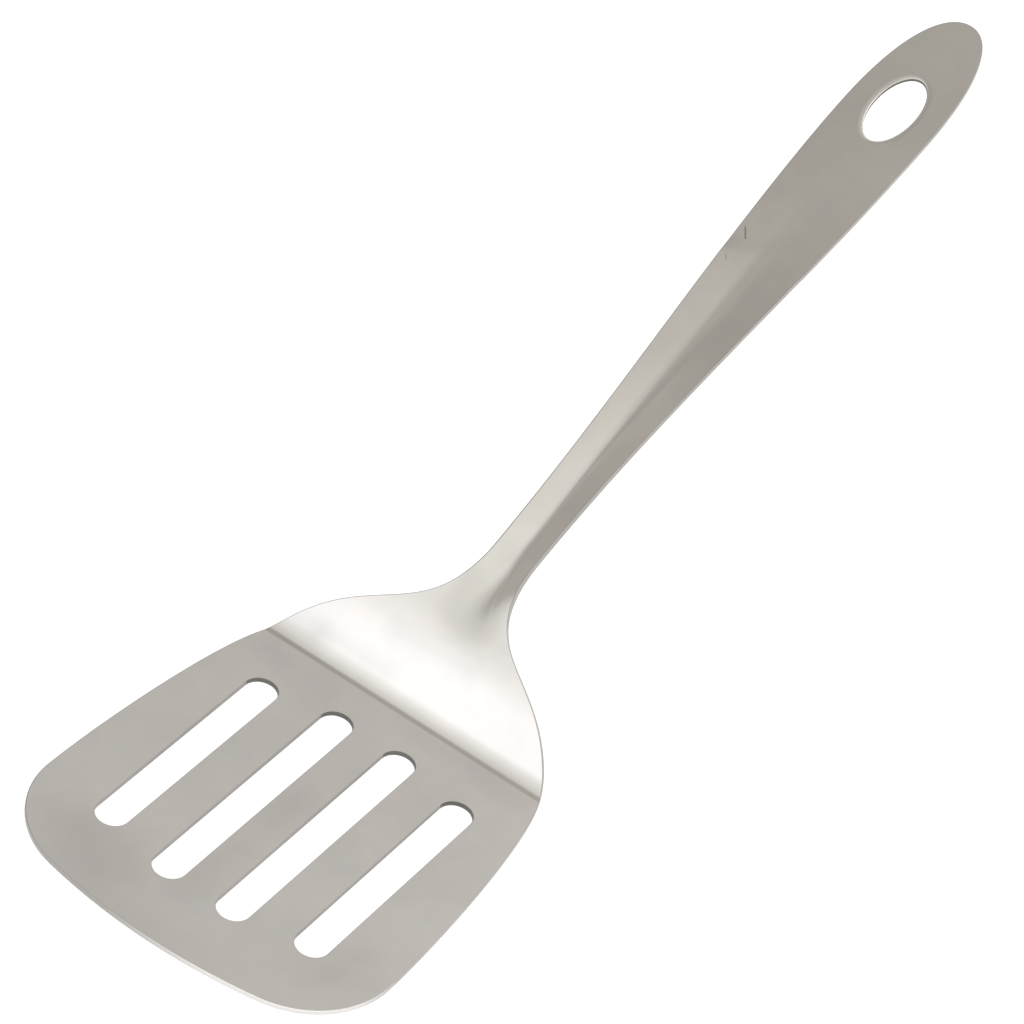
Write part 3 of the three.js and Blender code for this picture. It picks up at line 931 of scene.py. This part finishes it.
# Soft dark patches on the flat blade, and painted shade in lines beside the bend and across the neck
DARK_PATCHES_AND_BEND_SHADE = [
    ((-29, -35), (-18, -43), 12, 0.13), ((-21, -31), (-15, -36), 8, 0.06), ((0, 3), (-3, -30), 9, 0.11),
    ((-32, 39), (-18, 37), 8, 0.08), ((8, 41), (34, 40), 5, 0.06), ((36, -22), (33, -34), 7, 0.08),
    ((-36, 47.5), (-27, 48), 6, 0.2), ((-26, 49.5), (-9, 50), 4, 0.1), ((-11, 58.5), (8, 59.5), 5, 0.07),
]


def line_mask_group():
    """Mask of a short line on the blank, for scratches, patches and painted shade: 1 on the line
    between two places, 0 a width away from it.
    The nearest place on the line is a share t along it, held between 0 and 1."""
    inputs = [("From", VECTOR, None), ("To", VECTOR, None), ("Width", NUMBER, 0.2 * MM)]
    group, given, result = new_group("line_mask", inputs, [("Mask", NUMBER)])
    place = add(group, "UVMap", uv_map="blank").outputs["UV"]
    line = vector_maths(group, "SUBTRACT", {0: given["To"], 1: given["From"]}, "Vector")
    reach = vector_maths(group, "SUBTRACT", {0: place, 1: given["From"]}, "Vector")
    shadow = vector_maths(group, "DOT_PRODUCT", {0: reach, 1: line}, "Value")
    square = vector_maths(group, "DOT_PRODUCT", {0: line, 1: line}, "Value")
    t = maths(group, "DIVIDE", shadow, square, clamp=True)
    nearest = vector_maths(group, "SCALE", {0: line, "Scale": t}, "Vector")
    gap = vector_maths(group, "DISTANCE", {0: reach, 1: nearest}, "Value")
    share = maths(group, "DIVIDE", gap, given["Width"])
    feed(group, result["Mask"], maths(group, "SUBTRACT", 1.0, share, clamp=True))
    return group


def recolour(tree, share, colour):
    """Blends a colour into what a material's colour socket already gets."""
    socket = tree.nodes["Principled BSDF"].inputs["Base Color"]
    feed(tree, socket, mix(tree, share, socket.links[0].from_socket, colour))


def add_marks_and_bend_shade(tree):
    """Darkens a material's colour along the scratches and, softly, in the dark patches and the painted
    shade along the bend and across the neck.
    """
    for start, end, width, strength in DARK_PATCHES_AND_BEND_SHADE + SCRATCHES:
        ends = {"From": (*np.multiply(start, MM), 0), "To": (*np.multiply(end, MM), 0)}
        mask = use_group(tree, line_mask, {"Width": width * MM, **ends})["Mask"]
        recolour(tree, maths(tree, "MULTIPLY", mask, strength), MARK_AND_SHADE_COLOUR)


line_mask = line_mask_group()
# Scratches, dark patches and the painted shade along the bend and across the neck
add_marks_and_bend_shade(finishes[FACE].node_tree)
print("marks:", len(SCRATCHES), "scratches and", len(DARK_PATCHES_AND_BEND_SHADE), "patches_and_bend_shade")

# %% [markdown]
# ## Painted highlight on the front edge
# The cut wall of the front edge gets a painted highlight that grows towards its right side. Those faces
# could have a material of their own, but the highlight has no border. A mask that grows across and along
# the blank blends a brighter colour in by degrees.

# %% Paint a highlight on the front edge
# Colour of the painted highlight on the front edge
EDGE_HIGHLIGHT_COLOUR = (0.72, 0.69, 0.65, 1)
# Painted highlight on the front edge: places across and along the blank between which it grows
HIGHLIGHT_ACROSS = (-12 * MM, 16 * MM)
HIGHLIGHT_ALONG = (-22 * MM, -34 * MM)


def add_edge_highlight(tree):
    """Paints a highlight on the front edge, growing towards its right side and its front."""
    blank_place = add(tree, "UVMap", uv_map="blank").outputs["UV"]
    place = add(tree, "SeparateXYZ", {"Vector": blank_place}).outputs
    masks = []
    for axis, (low, high) in {"X": HIGHLIGHT_ACROSS, "Y": HIGHLIGHT_ALONG}.items():
        limits = {"Value": place[axis], "From Min": low, "From Max": high}
        masks.append(add(tree, "MapRange", limits).outputs["Result"])
    recolour(tree, maths(tree, "MULTIPLY", *masks), EDGE_HIGHLIGHT_COLOUR)


# Painted highlight on the right of the front edge
add_edge_highlight(finishes[TRIMMED_AND_SHADED].node_tree)
print("painted_highlight starts at", HIGHLIGHT_ACROSS[0] / MM, "mm across and", HIGHLIGHT_ALONG[0] / MM, "mm along")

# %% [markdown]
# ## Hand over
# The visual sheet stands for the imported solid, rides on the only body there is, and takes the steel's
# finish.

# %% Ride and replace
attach(spatula, "root")
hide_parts("pressed_spatula")
